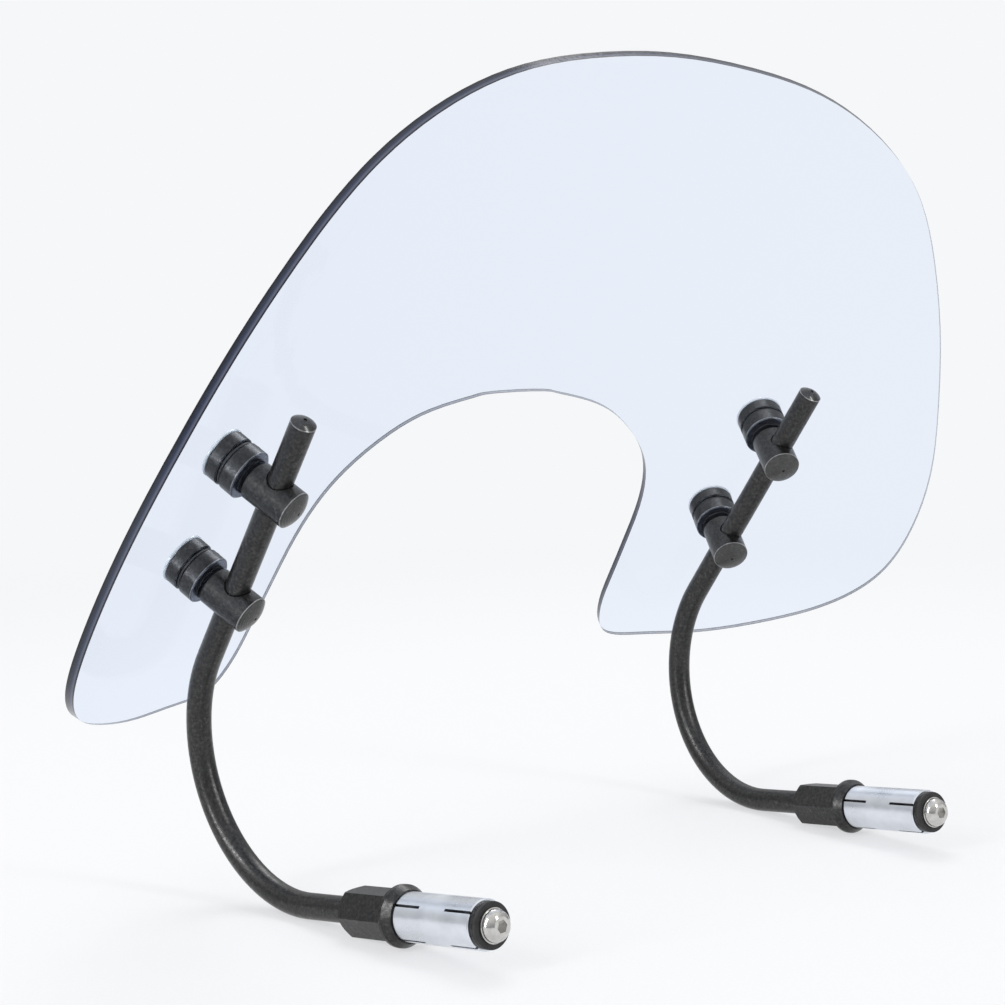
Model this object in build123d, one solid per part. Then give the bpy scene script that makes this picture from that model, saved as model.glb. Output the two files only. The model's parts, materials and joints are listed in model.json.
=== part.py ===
from build123d import *

import os
from math import acos, atan2, cos, hypot, radians, sin, tan

# Clear motorcycle screen on two bent rods with expanding plugs.
# Units are mm. +X is the rider's right, +Y is forward, +Z is up.
# The object stands on its two flanges and its two rod bends at z = 0.

# Rods
rod_r = 6.0
rod_half_spacing = 158.5       # straight parts, from the middle plane
rod_lean = 39.54               # straight part and screen, back from upright
rod_bend_r = 67.6
rod_above_bend = 144.5         # straight length from the bend to the tip
rod_plug_reach = 67.9          # flange rim to the start of the bend
rod_swing = 5.8                # turn of each rod about its straight part, plugs inward
rod_dome_height = 2.2
rod_mark_r = 0.9               # lathe centre mark in the tip
rod_mark_depth = 0.7
rod_end_inset = 12.0           # rod end to flange rim, inside the adapter
rod_seat_gap = 0.05

# Clamp posts
post_r = 9.5
post_base_height = 69.07       # middle between the posts, above the end of the bend
post_half_spacing = 32.0       # along the rod
post_dome_rim = 11.6           # all post lengths are from the rod axis
post_dome_height = 3.0
post_mark_r = 0.7
post_mark_depth = 0.5
post_end = 11.2
post_rod_gap = 0.08            # running fit on the rod
post_hole_round = 0.35

# Stack on the post's axis, rear to front: the sheet sits between the two thin washers
rear_washer_r = 8.6
gasket_r = 9.0
gasket_length = 1.0
disc_r = 12.4
disc_chamfer = 0.6
collar_length = 8.4
ring_length = 2.0
ring_r = 11.6
front_disc_length = 7.2
clear_washer_r = 12.7
clear_washer_length = 1.5
seat_gap = 0.03                # film of air where a flat disc meets the curved sheet

# Clamp screws: headless, they press on the rod and carry the stack
clamp_r = 4.0
clamp_rod_gap = 0.1            # rod to screw tip when slack
clamp_front_inset = 0.4        # below the face of the clear washer
clamp_socket_flats = 4.0
clamp_socket_depth = 4.0
clamp_thread_gap = 0.06        # running fit in post, collar and front disc
clamp_loose_gap = 0.3          # in the washers and the rubber ring

# Screen
screen_thickness = 4.3
screen_rear_r = 433.4
screen_centre_back = 390.0     # axis of curvature behind the plane of the rods
screen_hole_r = 4.6
# Half of the flat blank: distance from the middle line, height above the post middle.
blank_outer = [
    (45, 237), (90, 231.5), (134.5, 217), (171, 194), (201.5, 158.5), (226.5, 119.5), (247.5, 79),
    (265, 37), (272.5, 0), (270.5, -34), (254.5, -63.5), (224.5, -89.5), (188.5, -109), (155, -118.5),
]
blank_corner = [(133, -119.5), (123, -103)]
blank_cutout = [
    (119.5, -80), (116.5, -50), (112.5, -22), (101.5, 5.5), (80.5, 26.5), (53.5, 40.5), (26, 46.5),
]
blank_top = 239.0
blank_arch = 48.0
blank_inner_plane = 300.0      # planes on which the blank's edge is drawn,
blank_outer_plane = 500.0      # from the axis of curvature

# Expanding plugs, along the plug axis from the flange rim, + toward the bend
hex_flats = 20.0
hex_front = 33.5
hex_chamfer = 1.8
flange_r = 13.6
flange_front = 1.4
flange_back = -0.8
flange_round = 0.4
flange_neck_r = 11.5
flange_neck = -5.0
nose_start_r = 8.8
nose_end_r = 7.1
nose_end = -15.0
screw_thread_r = 4.0
thread_gap = 0.06
sleeve_r = 10.75
sleeve_bore_r = 7.6
sleeve_front = -5.3
sleeve_back = -53.8
sleeve_chamfer = 0.5
slot_width = 1.25
slot_length = 16.0
slot_count = 4
slot_phase = {"left": 43.0, "right": 23.0}
cone_gap = 0.15                # cone to sleeve mouth
end_disc_r = 9.9
end_cone_plate = 1.9
end_cone_length = 9.0
end_ring_length = 1.7
screw_washer_r = 7.45
screw_washer_length = 1.3
expander_head_r = 7.0
expander_head_length = 4.4
expander_crown_r = 4.1         # flat ring round the socket
expander_shoulder_r = 6.15     # a point halfway round the head,
expander_shoulder_rise = 2.73  # and its height above the bearing face
expander_socket_flats = 5.0
expander_socket_depth = 2.6
expander_length = 55.0
expander_bore_end = -0.5
shank_gap = 0.3                # screw shank in the loose pieces
face_gap = 0.05                # between flat faces that move apart

sides = {"left": -1, "right": 1}
levels = {"upper": 1, "lower": -1}

lean = radians(rod_lean)
rod_up = Vector(0, -sin(lean), cos(lean))
rod_front = Vector(0, cos(lean), sin(lean))

# The plugs slope so that the flange rims and the rod bends touch the same floor.
plug_slope = acos((rod_r + rod_bend_r) / hypot(flange_r + rod_bend_r, rod_plug_reach)) - atan2(
    rod_plug_reach, flange_r + rod_bend_r
)
plug_forward = Vector(0, cos(plug_slope), -sin(plug_slope))
rim_centre = Vector(0, 0, flange_r * cos(plug_slope))
bend_start = rim_centre + plug_forward * rod_plug_reach
bend_centre = bend_start + Vector(0, sin(plug_slope), cos(plug_slope)) * rod_bend_r
bend_end = bend_centre + rod_front * rod_bend_r
bend_middle_way = (rod_front - Vector(0, sin(plug_slope), cos(plug_slope))).normalized()
bend_middle = bend_centre + bend_middle_way * rod_bend_r
post_middle = bend_end + rod_up * post_base_height
rod_tip = bend_end + rod_up * rod_above_bend

post_angle = atan2(rod_half_spacing, screen_centre_back)
post_to_screen = screen_rear_r - hypot(rod_half_spacing, screen_centre_back)


def turned(profile):
    """Solid of revolution about Z from (radius, height) corners."""
    outline = Polyline(*[(r, 0, z) for r, z in profile], close=True)
    return revolve(make_face(outline), Axis.Z)


def drilled(solid, radius, low, high):
    """Cut a round hole about Z between two heights."""
    tool = Pos(0, 0, low) * Cylinder(radius, high - low, align=(Align.CENTER, Align.CENTER, Align.MIN))
    return solid - tool


def hexagon(flats, low, high):
    """Hexagonal prism about Z with flats facing local Y."""
    face = RegularPolygon(flats / 2, 6, major_radius=False)
    return Pos(0, 0, low) * extrude(face, high - low)


def dome(radius, height):
    """Low dome on the XY plane, bulging along Z."""
    ball_r = (radius**2 + height**2) / (2 * height)
    half_r = radius / 2
    half_drop = ball_r - (ball_r**2 - half_r**2) ** 0.5
    outline = [
        Edge.make_line((0, 0, 0), (radius, 0, 0)),
        Edge.make_three_point_arc((radius, 0, 0), (half_r, 0, height - half_drop), (0, 0, height)),
        Edge.make_line((0, 0, height), (0, 0, 0)),
    ]
    return revolve(make_face(outline), Axis.Z)


def disc(radius, low, high, bevel):
    """Turned disc with bevelled rims."""
    return turned([
        (0, low),
        (radius - bevel, low),
        (radius, low + bevel),
        (radius, high - bevel),
        (radius - bevel, high),
        (0, high),
    ])


def side_axis(side):
    """Axis of the straight part of one rod."""
    return Axis(Vector(sides[side] * rod_half_spacing, 0, 0) + post_middle, rod_up)


def swung(shape, side):
    """Turn a plug-end shape inward about its rod's straight part."""
    return shape.rotate(side_axis(side), -sides[side] * rod_swing)


def plug_frame(side):
    """Frame at the rim: Z along the plug toward the bend, X toward the rider's left, Y up."""
    origin = Vector(sides[side] * rod_half_spacing, 0, 0) + rim_centre
    return Plane(origin=origin, x_dir=(-1, 0, 0), z_dir=plug_forward)


def on_plug(shape, side):
    return swung(plug_frame(side).location * shape, side)


def post_frame(side, level):
    """Frame on the rod axis: Z toward the screen, square to it, Y along the rod."""
    centre = Vector(sides[side] * rod_half_spacing, 0, 0) + post_middle
    centre = centre + rod_up * (levels[level] * post_half_spacing)
    toward = rod_front * cos(post_angle) + Vector(sides[side] * sin(post_angle), 0, 0)
    across = rod_up.cross(toward)
    return Plane(origin=centre, x_dir=across, z_dir=toward)


def on_post(shape, side, level):
    return post_frame(side, level).location * shape


def make_rod(side):
    start = rim_centre + plug_forward * rod_end_inset
    dome_rim = rod_tip - rod_up * rod_dome_height
    path = Wire([
        Edge.make_line(start, bend_start),
        Edge.make_three_point_arc(bend_start, bend_middle, bend_end),
        Edge.make_line(bend_end, dome_rim),
    ])
    section = Plane(origin=start, z_dir=plug_forward) * Circle(rod_r)
    rod = sweep(section, path=path)
    rod = rod + Plane(origin=dome_rim, z_dir=rod_up).location * dome(rod_r, rod_dome_height)
    mark = Plane(origin=rod_tip, z_dir=rod_up) * Cylinder(rod_mark_r, 2 * rod_mark_depth)
    rod = Pos(sides[side] * rod_half_spacing, 0, 0) * (rod - mark)
    return swung(rod, side)


def make_post(side, level):
    dome_top = -post_dome_rim - post_dome_height
    bar = turned([(0, -post_dome_rim), (post_r, -post_dome_rim), (post_r, post_end), (0, post_end)])
    post = bar + Pos(0, 0, -post_dome_rim) * Rot(180, 0, 0) * dome(post_r, post_dome_height)
    rod_hole = Rot(90, 0, 0) * Cylinder(rod_r + post_rod_gap, 4 * post_r)
    post = post - rod_hole
    saddles = post.edges().filter_by(GeomType.BSPLINE)
    post = fillet(saddles, post_hole_round)
    post = drilled(post, clamp_r + clamp_thread_gap, 0, post_end)
    post = drilled(post, post_mark_r, dome_top, dome_top + post_mark_depth)
    return on_post(post, side, level)


def make_clamp_screw(side, level):
    top = clear_washer_end - clamp_front_inset
    screw = disc(clamp_r, rod_r + clamp_rod_gap, top, disc_chamfer)
    screw = screw - hexagon(clamp_socket_flats, top - clamp_socket_depth, top)
    return on_post(screw, side, level)


def make_disc(side, level, radius, low, high, bolt_r):
    body = disc(radius, low, high, min(disc_chamfer, (high - low) / 4))
    return on_post(drilled(body, bolt_r, low, high), side, level)


def blank_edge(height):
    """Edge of the blank, drawn on a plane at a height above the axis of curvature."""
    half = [(0, blank_top)] + blank_outer + blank_corner + blank_cutout + [(0, blank_arch)]
    steps = [hypot(a[0] - b[0], a[1] - b[1]) for a, b in zip(half, half[1:])]
    marks = [sum(steps[:i]) / sum(steps) for i in range(len(half))]
    edges = []
    for way in (1, -1):
        points = [Vector(way * height * tan(a / screen_rear_r), v, height) for a, v in half]
        ends = [Vector(way, 0, 0), Vector(-way, 0, 0)]
        edges.append(Edge.make_spline(points, tangents=ends, parameters=marks))
    return Wire(edges)


def make_screen():
    long = 2 * (blank_top - blank_cutout[0][1])
    front_r = screen_rear_r + screen_thickness
    sheet = Rot(90, 0, 0) * (Cylinder(front_r, long) - Cylinder(screen_rear_r, long))
    blank = Solid.make_loft([blank_edge(blank_inner_plane), blank_edge(blank_outer_plane)], ruled=True)
    screen = sheet & blank
    origin = post_middle - rod_front * screen_centre_back
    screen = Plane(origin=origin, x_dir=(-1, 0, 0), z_dir=rod_front).location * screen
    for side in sides:
        for level in levels:
            hole = Pos(0, 0, post_to_screen) * Cylinder(screen_hole_r, 4 * screen_thickness)
            screen = screen - on_post(hole, side, level)
    return screen


def make_adapter(side):
    hexagon_part = hexagon(hex_flats, flange_front - flange_round, hex_front)
    corner_r = hex_flats / 2 / cos(radians(30))
    cap = disc(corner_r, flange_front - hex_front, hex_front, hex_chamfer)
    flange = turned([
        (0, flange_front),
        (flange_r - flange_round, flange_front),
        (flange_r, flange_front - flange_round),
        (flange_r, flange_back),
        (flange_neck_r, flange_neck),
        (nose_start_r, flange_neck),
        (nose_end_r, nose_end),
        (0, nose_end),
    ])
    adapter = (hexagon_part & cap) + flange
    adapter = drilled(adapter, rod_r + rod_seat_gap, rod_end_inset - rod_seat_gap, hex_front)
    adapter = drilled(adapter, screw_thread_r + thread_gap, nose_end, expander_bore_end)
    return on_plug(adapter, side)


def make_sleeve(side):
    mouth_r = nose_start_r + cone_gap
    taper = (nose_start_r - nose_end_r) / (flange_neck - nose_end)
    mouth = (mouth_r - sleeve_bore_r) / taper
    sleeve = turned([
        (mouth_r, sleeve_front),
        (sleeve_r - sleeve_chamfer, sleeve_front),
        (sleeve_r, sleeve_front - sleeve_chamfer),
        (sleeve_r, sleeve_back + sleeve_chamfer),
        (sleeve_r - sleeve_chamfer, sleeve_back),
        (mouth_r, sleeve_back),
        (sleeve_bore_r, sleeve_back + mouth),
        (sleeve_bore_r, sleeve_front - mouth),
    ])
    for end in (sleeve_front, sleeve_back):
        for i in range(slot_count // 2):
            slot = Rot(0, 0, slot_phase[side] + 90 * i) * Box(3 * sleeve_r, slot_width, 2 * slot_length)
            sleeve = sleeve - Pos(0, 0, end) * slot
    return on_plug(sleeve, side)


def make_end_cone(side):
    taper = (nose_start_r - nose_end_r) / (flange_neck - nose_end)
    cone = turned([
        (0, plate_front),
        (nose_start_r, plate_front),
        (nose_start_r - taper * end_cone_length, plate_front + end_cone_length),
        (0, plate_front + end_cone_length),
    ])
    plate = disc(end_disc_r, plate_back, plate_front, sleeve_chamfer / 2)
    cone = drilled(cone + plate, screw_thread_r + shank_gap, plate_back, plate_front + end_cone_length)
    return on_plug(cone, side)


def make_end_disc(side, radius, front, length):
    ring = disc(radius, front - length, front, sleeve_chamfer / 2)
    return on_plug(drilled(ring, screw_thread_r + shank_gap, front - length, front), side)


def make_expander_screw(side):
    under_head = screw_washer_back - face_gap
    top = under_head - expander_head_length
    outline = [
        Edge.make_line((0, 0, under_head), (expander_head_r, 0, under_head)),
        Edge.make_three_point_arc(
            (expander_head_r, 0, under_head),
            (expander_shoulder_r, 0, under_head - expander_shoulder_rise),
            (expander_crown_r, 0, top),
        ),
        Edge.make_line((expander_crown_r, 0, top), (0, 0, top)),
        Edge.make_line((0, 0, top), (0, 0, under_head)),
    ]
    head = revolve(make_face(outline), Axis.Z)
    shank = disc(screw_thread_r, under_head, under_head + expander_length, disc_chamfer)
    screw = head + shank
    screw = screw - hexagon(expander_socket_flats, top, top + expander_socket_depth)
    return on_plug(screw, side)


thread_r = clamp_r + clamp_thread_gap
loose_r = clamp_r + clamp_loose_gap
rear_washer_end = post_to_screen - rear_washer_r**2 / (2 * screen_rear_r) - seat_gap
gasket_start = post_to_screen + screen_thickness + seat_gap
gasket_end = gasket_start + gasket_length
collar_end = gasket_end + collar_length
ring_end = collar_end + ring_length
front_disc_end = ring_end + front_disc_length
clear_washer_end = front_disc_end + clear_washer_length
stack = {
    "rear_washer": (rear_washer_r, post_end, rear_washer_end, loose_r),
    "gasket": (gasket_r, gasket_start, gasket_end, loose_r),
    "collar": (disc_r, gasket_end, collar_end, thread_r),
    "rubber_ring": (ring_r, collar_end, ring_end, loose_r),
    "front_disc": (disc_r, ring_end, front_disc_end, thread_r),
    "clear_washer": (clear_washer_r, front_disc_end, clear_washer_end, loose_r),
}
plate_front = sleeve_back - face_gap
plate_back = plate_front - end_cone_plate
end_ring_back = plate_back - end_ring_length
screw_washer_back = end_ring_back - screw_washer_length

parts = {"screen": make_screen()}
for side in sides:
    parts[f"{side}_rod"] = make_rod(side)
    parts[f"{side}_adapter"] = make_adapter(side)
    parts[f"{side}_sleeve"] = make_sleeve(side)
    parts[f"{side}_end_cone"] = make_end_cone(side)
    parts[f"{side}_end_ring"] = make_end_disc(side, end_disc_r, plate_back, end_ring_length)
    parts[f"{side}_screw_washer"] = make_end_disc(
        side, screw_washer_r, end_ring_back, screw_washer_length
    )
    parts[f"{side}_expander_screw"] = make_expander_screw(side)
    for level in levels:
        station = f"{side}_{level}"
        parts[f"{station}_post"] = make_post(side, level)
        parts[f"{station}_clamp_screw"] = make_clamp_screw(side, level)
        for name, (radius, low, high, bolt_r) in stack.items():
            parts[f"{station}_{name}"] = make_disc(side, level, radius, low, high, bolt_r)

# The origin is the middle of the bounding box, on the floor.
box = Compound([solid for shape in parts.values() for solid in shape.solids()]).bounding_box()
shift = Pos(0, -box.center().Y, -box.min.Z)
os.makedirs("parts", exist_ok=True)
for name, shape in parts.items():
    placed = shift * Compound(shape.solids())
    placed.label = name
    export_step(placed, f"parts/{name}.step")

print("nodes", len(parts))
print("box", box.size)
print("shift", shift.position)
for side in sides:
    for name, distance in (("rim", 0.0), ("sleeve_back", sleeve_back)):
        spot = on_plug(Pos(0, 0, distance) * Sphere(0.1), side)
        print(side, name, (shift * spot).center())
    for level in levels:
        spot = on_post(Sphere(0.1), side, level)
        print(side, level, "rod point", (shift * spot).center(), "way", post_frame(side, level).z_dir)
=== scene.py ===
import json
import math

import bpy
from mathutils import Matrix, Vector

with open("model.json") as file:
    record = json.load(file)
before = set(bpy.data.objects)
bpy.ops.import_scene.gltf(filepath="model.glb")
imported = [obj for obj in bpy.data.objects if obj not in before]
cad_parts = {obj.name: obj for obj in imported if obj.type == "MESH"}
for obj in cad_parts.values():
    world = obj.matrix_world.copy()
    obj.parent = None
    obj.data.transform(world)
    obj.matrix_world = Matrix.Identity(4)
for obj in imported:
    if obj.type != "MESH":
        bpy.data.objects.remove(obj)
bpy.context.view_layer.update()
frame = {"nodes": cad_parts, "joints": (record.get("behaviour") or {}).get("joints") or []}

nodes = frame["nodes"]
joints = {j["name"]: j for j in frame["joints"]}
SIDES = ("left", "right")
LEVELS = ("upper", "lower")
scene = bpy.context.scene
scene.view_settings.view_transform = "Standard"


# ---------------------------------------------------------------- shader helpers
class Net:
    """A material's node tree, with short calls for what is used here."""

    def __init__(self, name):
        self.material = bpy.data.materials.new(name)
        self.material.use_nodes = True
        self.tree = self.material.node_tree
        self.tree.nodes.clear()
        self.out = self.tree.nodes.new("ShaderNodeOutputMaterial")

    def add(self, kind, inputs=None, **props):
        made = self.tree.nodes.new(kind)
        for key, value in props.items():
            setattr(made, key, value)
        for key, value in (inputs or {}).items():
            if isinstance(value, bpy.types.NodeSocket):
                self.tree.links.new(value, made.inputs[key])
            else:
                made.inputs[key].default_value = value
        return made

    def place(self):
        return self.add("ShaderNodeTexCoord").outputs["Object"]

    def math(self, operation, a, b=0.0):
        return self.add("ShaderNodeMath", {0: a, 1: b}, operation=operation).outputs[0]

    def vector(self, operation, a, b=(0, 0, 0)):
        made = self.add("ShaderNodeVectorMath", {0: a, 1: b}, operation=operation)
        return made.outputs["Value" if operation in ("LENGTH", "DOT_PRODUCT") else "Vector"]

    def noise(self, scale, detail=4.0, rough=0.55):
        inputs = {"Vector": self.place(), "Scale": scale, "Detail": detail, "Roughness": rough}
        return self.add("ShaderNodeTexNoise", inputs).outputs["Fac"]

    def ramp(self, value, stops):
        made = self.add("ShaderNodeValToRGB", {"Fac": value})
        points = made.color_ramp.elements
        while len(points) < len(stops):
            points.new(0.5)
        for point, (where, colour) in zip(points, stops):
            point.position = where
            point.color = (*colour, 1)
        return made.outputs["Color"]

    def spread(self, value, low, high, start=0.0, end=1.0):
        inputs = {"Value": value, "From Min": low, "From Max": high, "To Min": start, "To Max": end}
        return self.add("ShaderNodeMapRange", inputs).outputs[0]

    def mix(self, factor, a, b):
        made = self.add("ShaderNodeMix", data_type="RGBA")
        for key, value in ((0, factor), (6, a), (7, b)):
            if isinstance(value, bpy.types.NodeSocket):
                self.tree.links.new(value, made.inputs[key])
            else:
                made.inputs[key].default_value = value
        return made.outputs[2]

    def band(self, value, centre, half):
        """1 near a value, falling to 0 at half a width from it."""
        gap = self.math("ABSOLUTE", self.math("SUBTRACT", value, centre))
        return self.spread(gap, half, half * 0.35)

    def bump(self, height, distance, strength):
        inputs = {"Height": height, "Distance": distance, "Strength": strength}
        return self.add("ShaderNodeBump", inputs).outputs["Normal"]

    def show(self, shader):
        self.tree.links.new(shader.outputs[0], self.out.inputs["Surface"])
        return self.material

    def finish(self, inputs):
        return self.show(self.add("ShaderNodeBsdfPrincipled", inputs))

    def join(self, factor, first, second):
        made = self.add("ShaderNodeMixShader", {0: factor})
        self.tree.links.new(first.outputs[0], made.inputs[1])
        self.tree.links.new(second.outputs[0], made.inputs[2])
        return made


MM = 0.001
SHEET_REAR = 433.4 * MM
SHEET_FRONT = 437.7 * MM
SHEET_AXIS_BACK = 390 * MM
ARRIS_SHADE_WIDTH = 1.0 * MM
ACRYLIC_IOR = 1.49

# The turned pieces: radii, and distances along each clamp's axis from the rod's axis.
ROD_R = 6 * MM
ROD_DOME = 2.2 * MM
POST_R = 9.5 * MM
POST_RIM = -11.6 * MM
POST_FACE = -11.7 * MM
COLLAR_R = 12.4 * MM
COLLAR_FACE = 18.0 * MM
COLLAR_RIM = 18.3 * MM

rod_up = Vector(joints["screen_height"]["axis"]).normalized()
rod_front = Vector((0, rod_up.z, -rod_up.y))
clamps = [joints[f"{side}_{level}_clamp_turn"] for side in SIDES for level in LEVELS]
post_middle = sum((Vector(joint["pos_m"]) for joint in clamps), Vector()) / len(clamps)


# ---------------------------------------------------------------- materials
def clear_sheet():
    """Cast acrylic, faintly blue, with a coat that cuts reflections: clear through its
    thickness, dark along it. Its edge, more from outside than from inside, shows painted shade: dark blue
    bands with one painted lighter band, and painted black shade on each arris."""
    net = Net("clear_sheet")
    ripple = net.noise(9.0, 2.0, 0.4)
    normal = net.bump(ripple, 0.3 * MM, 0.08)
    fresnel = net.add("ShaderNodeFresnel", {"IOR": ACRYLIC_IOR, "Normal": normal}).outputs[0]
    inside = net.math("GREATER_THAN", fresnel, 0.97)
    mirrored = net.math("MAXIMUM", inside, net.math("MULTIPLY", fresnel, 0.1))
    bent = net.add("ShaderNodeBsdfRefraction", {"Roughness": 0.0, "IOR": ACRYLIC_IOR, "Normal": normal})
    mirror = net.add("ShaderNodeBsdfAnisotropic", {"Roughness": 0.0, "Normal": normal})
    tint = net.add("ShaderNodeVolumeAbsorption", {"Color": (0.41, 0.64, 0.99, 1), "Density": 46.0})
    net.tree.links.new(tint.outputs[0], net.out.inputs["Volume"])
    clear = net.join(mirrored, bent, mirror)

    # Straight out from the axis of curvature, which lies behind the posts.
    axis = tuple(rod_up)
    from_axis = net.vector("SUBTRACT", net.place(), tuple(post_middle - rod_front * SHEET_AXIS_BACK))
    lift = net.add("ShaderNodeVectorMath", {0: from_axis, 1: axis}, operation="PROJECT").outputs[0]
    outward = net.vector("SUBTRACT", from_axis, lift)
    radius = net.vector("LENGTH", outward)
    outward = net.vector("NORMALIZE", outward)
    geometry = net.add("ShaderNodeNewGeometry")
    tilt = net.math("ABSOLUTE", net.vector("DOT_PRODUCT", geometry.outputs["True Normal"], outward))
    edge = net.math("LESS_THAN", tilt, 0.6)
    outer = net.math("SUBTRACT", 1.0, geometry.outputs["Backfacing"])
    polish = net.noise(520.0, 4.0, 0.6)
    across = net.spread(radius, SHEET_REAR, SHEET_FRONT)
    # Painted shade across the edge's thickness: dark blue, with one painted lighter band nearer the rear
    # face.
    painted_edge_bands = net.ramp(across, [
        (0.05, (0.012, 0.014, 0.024)),
        (0.22, (0.100, 0.112, 0.165)),
        (0.50, (0.020, 0.028, 0.055)),
        (0.85, (0.008, 0.010, 0.018)),
    ])
    painted_edge_shade = net.add("ShaderNodeBsdfPrincipled", {
        "Base Color": net.mix(net.spread(polish, 0.3, 0.7, 0.0, 0.25), painted_edge_bands, (0.030, 0.038, 0.065, 1)),
        "Roughness": net.spread(polish, 0.3, 0.7, 0.10, 0.25),
        "IOR": ACRYLIC_IOR,
    })
    # Painted black shade along each arris of the edge.
    rear_arris_shade = net.band(radius, SHEET_REAR, ARRIS_SHADE_WIDTH)
    front_arris_shade = net.band(radius, SHEET_FRONT, ARRIS_SHADE_WIDTH)
    arris_shade_mask = net.math("MAXIMUM", rear_arris_shade, front_arris_shade)
    # Painted black shade for the arrises.
    black = net.add("ShaderNodeBsdfPrincipled", {"Base Color": (0.008, 0.008, 0.012, 1), "Roughness": 0.2})
    side = net.math("MULTIPLY", edge, net.spread(outer, 0.0, 1.0, 0.6, 1.0))
    body = net.join(side, clear, painted_edge_shade)
    return net.show(net.join(net.math("MULTIPLY", edge, arris_shade_mask), body, black))


def black_oxide(name, start=None, axis=None, painted_highlight_rims=(), rings=None, painted_reflection_below=None, polished_highlit_above=None):
    """Burnished black oxide on steel, with soft marks. Along the axis from the start:
    painted_highlight_rims are (along, away) circles lightened unevenly as a painted highlight, rings is
    where the turned face begins, painted_reflection_below ends a face painted pale as a painted reflection,
    and polished_highlit_above begins a polished end lightened as a painted highlight."""
    net = Net(name)
    blotch = net.noise(620.0, 6.0, 0.68)
    fine = net.noise(2100.0, 3.0, 0.6)
    colour = net.ramp(blotch, [
        (0.30, (0.026, 0.026, 0.027)),
        (0.50, (0.044, 0.044, 0.044)),
        (0.74, (0.086, 0.085, 0.085)),
    ])
    speck = net.spread(net.noise(1100.0, 2.0, 0.7), 0.66, 0.80, 0.0, 0.5)
    colour = net.mix(speck, colour, (0.20, 0.20, 0.20, 1))
    height = net.math("ADD", net.math("MULTIPLY", blotch, 0.5), net.math("MULTIPLY", fine, 0.25))
    rough = net.spread(blotch, 0.25, 0.75, 0.38, 0.24)
    if axis:
        at = net.vector("SUBTRACT", net.place(), tuple(start))
        along = net.vector("DOT_PRODUCT", at, tuple(axis))
        away = net.vector("LENGTH", net.vector("CROSS_PRODUCT", at, tuple(axis)))
        # Painted highlight: a thin, uneven lighter ring of colour on each listed edge, where edge
        # highlights fall.
        for where, radius in painted_highlight_rims:
            rim_highlight_mask = net.math("MULTIPLY", net.band(along, where, 0.3 * MM), net.band(away, radius, 0.5 * MM))
            uneven_rim_highlight = net.math("MULTIPLY", rim_highlight_mask, net.spread(net.noise(420.0, 3.0), 0.30, 0.62, 0.35, 1.0))
            colour = net.mix(uneven_rim_highlight, colour, (0.34, 0.34, 0.34, 1))
        if rings is not None:
            wave = net.math("SINE", net.math("MULTIPLY", away, 2 * math.pi / (1.15 * MM)))
            close = net.math("SINE", net.math("MULTIPLY", away, 2 * math.pi / (0.43 * MM)))
            wave = net.math("ADD", wave, net.math("MULTIPLY", close, 0.5))
            face = net.spread(along, rings, rings - 0.4 * MM)
            height = net.math("ADD", height, net.math("MULTIPLY", net.math("MULTIPLY", wave, face), 0.55))
            colour = net.mix(net.math("MULTIPLY", face, 0.35), colour, (0.13, 0.13, 0.13, 1))
        # Painted reflection: the face below this point is painted pale where the grazing face would reflect
        # the light.
        if painted_reflection_below is not None:
            face = net.spread(along, painted_reflection_below, painted_reflection_below - 0.1 * MM)
            colour = net.mix(face, colour, (0.16, 0.16, 0.175, 1))
        # Painted highlight: the domed end is lightened in colour; its lower roughness is the real polish.
        if polished_highlit_above is not None:
            end = net.spread(along, polished_highlit_above, polished_highlit_above + 0.3 * MM)
            colour = net.mix(net.math("MULTIPLY", end, 0.15), colour, (0.20, 0.20, 0.20, 1))
            rough = net.math("SUBTRACT", rough, net.math("MULTIPLY", end, 0.12))
    return net.finish({
        "Base Color": colour,
        "Metallic": 0.85,
        "Roughness": rough,
        "Normal": net.bump(height, 0.05 * MM, 0.8),
    })


def black_rubber():
    net = Net("black_rubber")
    grain = net.noise(2200.0, 4.0, 0.6)
    dust = net.noise(300.0, 5.0, 0.6)
    colour = net.ramp(dust, [(0.35, (0.010, 0.010, 0.011)), (0.75, (0.026, 0.026, 0.027))])
    return net.finish({
        "Base Color": colour,
        "Roughness": net.spread(grain, 0.3, 0.7, 0.5, 0.72),
        "Normal": net.bump(grain, 0.05 * MM, 0.7),
    })


def zinc_plate():
    net = Net("zinc_plate")
    cloud = net.noise(60.0, 5.0, 0.6)
    grain = net.noise(2600.0, 3.0, 0.6)
    colour = net.ramp(cloud, [(0.3, (0.66, 0.69, 0.74)), (0.7, (0.80, 0.83, 0.88))])
    return net.finish({
        "Base Color": colour,
        "Metallic": 1.0,
        "Roughness": net.spread(cloud, 0.3, 0.7, 0.25, 0.36),
        "Normal": net.bump(grain, 0.02 * MM, 0.6),
    })


def stainless():
    net = Net("stainless")
    cloud = net.noise(380.0, 4.0, 0.6)
    grain = net.noise(3000.0, 2.0, 0.5)
    colour = net.ramp(cloud, [(0.3, (0.50, 0.49, 0.47)), (0.7, (0.66, 0.65, 0.63))])
    return net.finish({
        "Base Color": colour,
        "Metallic": 1.0,
        "Roughness": net.spread(cloud, 0.3, 0.7, 0.10, 0.20),
        "Normal": net.bump(grain, 0.02 * MM, 0.5),
    })


def clear_nylon():
    net = Net("clear_nylon")
    cloud = net.noise(240.0, 4.0, 0.6)
    return net.finish({
        "Base Color": net.ramp(cloud, [(0.3, (0.86, 0.90, 0.92)), (0.7, (0.95, 0.97, 0.98))]),
        "Roughness": net.spread(cloud, 0.3, 0.7, 0.12, 0.3),
        "IOR": 1.5,
        "Transmission Weight": 0.35,
    })


def paint(name, material):
    """Give a CAD node its material."""
    mesh = nodes[name].data
    mesh.materials.clear()
    mesh.materials.append(material)


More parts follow.
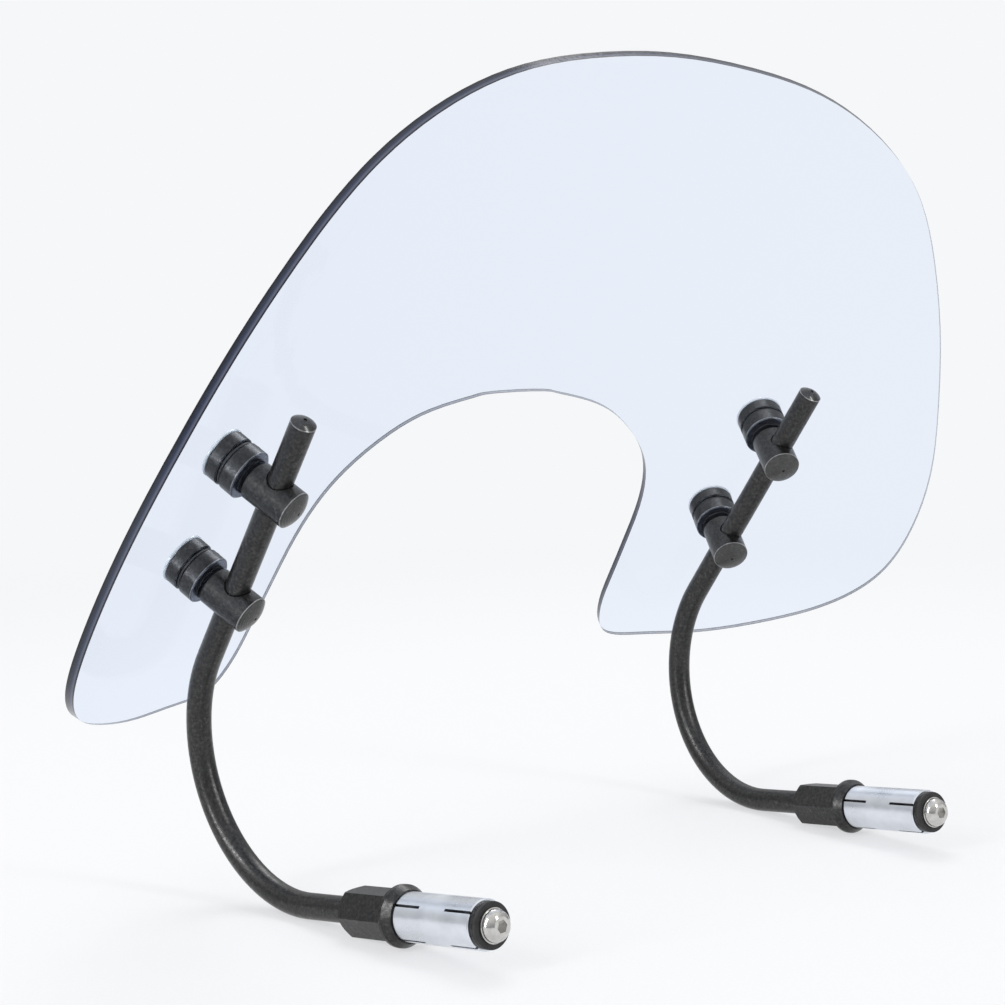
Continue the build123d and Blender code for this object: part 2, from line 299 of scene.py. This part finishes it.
sheet = clear_sheet()
rubber = black_rubber()
zinc = zinc_plate()
steel = stainless()
nylon = clear_nylon()
screw_black = black_oxide("black_oxide_clamp_screws")
paint("screen", sheet)
for side in SIDES:
    foot = Vector(joints[f"{side}_upper_clamp_turn"]["pos_m"])
    tip = max((vertex.co - foot).dot(rod_up) for vertex in nodes[f"{side}_rod"].data.vertices)
    paint(f"{side}_rod", black_oxide(
        f"black_oxide_{side}_rod", foot, rod_up, [(tip - ROD_DOME, ROD_R)], polished_highlit_above=tip - ROD_DOME))
    adapter = black_oxide(f"black_oxide_{side}_adapter")
    paint(f"{side}_adapter", adapter)
    paint(f"{side}_sleeve", zinc)
    paint(f"{side}_end_cone", adapter)
    paint(f"{side}_end_ring", rubber)
    paint(f"{side}_screw_washer", steel)
    paint(f"{side}_expander_screw", steel)
    for level in LEVELS:
        station = f"{side}_{level}"
        joint = joints[f"{station}_clamp_turn"]
        start, axis = Vector(joint["pos_m"]), Vector(joint["axis"]).normalized()
        paint(f"{station}_post", black_oxide(
            f"black_oxide_{station}_post", start, axis, [(POST_RIM, POST_R)], rings=POST_FACE))
        paint(f"{station}_collar", black_oxide(
            f"black_oxide_{station}_collar", start, axis, [(COLLAR_RIM, COLLAR_R)], painted_reflection_below=COLLAR_FACE))
        paint(f"{station}_front_disc", black_oxide(f"black_oxide_{station}_disc", start, axis))
        paint(f"{station}_clamp_screw", screw_black)
        for name in ("rear_washer", "gasket", "rubber_ring"):
            paint(f"{station}_{name}", rubber)
        paint(f"{station}_clear_washer", nylon)

# The studio light goes straight through the sheet.
nodes["screen"].visible_shadow = False


# ---------------------------------------------------------------- studio
PAPER = (0.922, 0.930, 0.947)


def pale_floor():
    """Wide round floor of white paper, part lit and part glowing so that its shadows stay faint.
    It fades into the studio wall's own brightness."""
    turns = 96
    rings = (0.0, 0.3, 0.6, 1.0, 1.5, 2.2, 3.2, 6.0, 14.0, 40.0)
    verts = [(0.0, 0.0, 0.0)]
    for r in rings[1:]:
        verts += [
            (r * math.cos(2 * math.pi * i / turns), r * math.sin(2 * math.pi * i / turns), 0.0)
            for i in range(turns)
        ]
    faces = [(0, 1 + i, 1 + (i + 1) % turns) for i in range(turns)]
    for ring in range(len(rings) - 2):
        a, b = 1 + ring * turns, 1 + (ring + 1) * turns
        faces += [(a + i, b + i, b + (i + 1) % turns, a + (i + 1) % turns) for i in range(turns)]
    mesh = bpy.data.meshes.new("floor")
    mesh.from_pydata(verts, [], faces)
    floor = bpy.data.objects.new("floor", mesh)
    scene.collection.objects.link(floor)

    net = Net("floor_paper")
    grain = net.noise(700.0, 3.0, 0.6)
    colour = net.ramp(grain, [(0.3, (0.265, 0.267, 0.270)), (0.7, (0.285, 0.287, 0.290))])
    paper = net.add("ShaderNodeBsdfPrincipled", {
        "Base Color": colour,
        "Roughness": 0.9,
        "Specular IOR Level": 0.1,
        "Emission Color": (0.98, 0.985, 1.0, 1),
        "Emission Strength": 0.58,
    })
    wall = net.add("ShaderNodeEmission", {"Color": (*PAPER, 1), "Strength": 1.0})
    reach = net.vector("LENGTH", net.place())
    faded = net.spread(reach, 0.75, 1.9)
    mesh.materials.append(net.show(net.join(faded, paper, wall)))
    return floor


pale_floor()


def studio_world():
    """White studio: even where it is looked at, brighter overhead where it lights the part."""
    world = bpy.data.worlds.new("studio")
    world.use_nodes = True
    tree = world.node_tree
    tree.nodes.clear()
    add, link = tree.nodes.new, tree.links.new
    seen, lit = add("ShaderNodeBackground"), add("ShaderNodeBackground")
    seen.inputs["Color"].default_value = (*PAPER, 1)
    way = add("ShaderNodeTexCoord")
    parts = add("ShaderNodeSeparateXYZ")
    ramp = add("ShaderNodeValToRGB")
    spread = add("ShaderNodeMapRange")
    spread.inputs["From Min"].default_value = -1.0
    link(way.outputs["Generated"], parts.inputs[0])
    link(parts.outputs["Z"], spread.inputs["Value"])
    link(spread.outputs[0], ramp.inputs[0])
    points = ramp.color_ramp.elements
    points[0].position, points[0].color = 0.45, (0.26, 0.27, 0.29, 1)
    points[1].position, points[1].color = 0.95, (0.95, 0.95, 0.95, 1)
    link(ramp.outputs[0], lit.inputs["Color"])
    path = add("ShaderNodeLightPath")
    looked = add("ShaderNodeMath")
    looked.operation = "MAXIMUM"
    link(path.outputs["Is Camera Ray"], looked.inputs[0])
    link(path.outputs["Is Transmission Ray"], looked.inputs[1])
    mix = add("ShaderNodeMixShader")
    link(looked.outputs[0], mix.inputs[0])
    link(lit.outputs[0], mix.inputs[1])
    link(seen.outputs[0], mix.inputs[2])
    link(mix.outputs[0], add("ShaderNodeOutputWorld").inputs[0])
    return world


scene.world = studio_world()


def softbox(name, at, target, size, power):
    lamp = bpy.data.lights.new(name, "AREA")
    lamp.shape = "RECTANGLE"
    lamp.size, lamp.size_y = size
    lamp.energy = power
    box = bpy.data.objects.new(name, lamp)
    box.location = at
    box.visible_transmission = False
    box.rotation_euler = (Vector(target) - Vector(at)).to_track_quat("-Z", "Y").to_euler()
    scene.collection.objects.link(box)


softbox("key", (0.9, 0.9, 2.0), (0, 0, 0.1), (1.1, 1.1), 20)
softbox("side", (-1.9, 0.1, 1.0), (0, 0, 0.15), (0.35, 1.8), 24)
softbox("front", (0.6, -2.0, 1.2), (0, 0, 0.15), (0.35, 1.8), 16)

# ---------------------------------------------------------------- camera
eye = Vector((-0.62930, -0.75503, 0.24683))
forward = Vector((0.61811, 0.78322, -0.06717)).normalized()
up = Vector((0.07258, 0.02821, 0.99696))
right = forward.cross(up).normalized()
up = right.cross(forward)
camera = bpy.data.objects.new("camera", bpy.data.cameras.new("camera"))
camera.matrix_world = Matrix((
    (right.x, up.x, -forward.x, eye.x),
    (right.y, up.y, -forward.y, eye.y),
    (right.z, up.z, -forward.z, eye.z),
    (0, 0, 0, 1),
))
camera.data.sensor_width = 36.0
camera.data.lens = 72.05
scene.collection.objects.link(camera)
scene.camera = camera
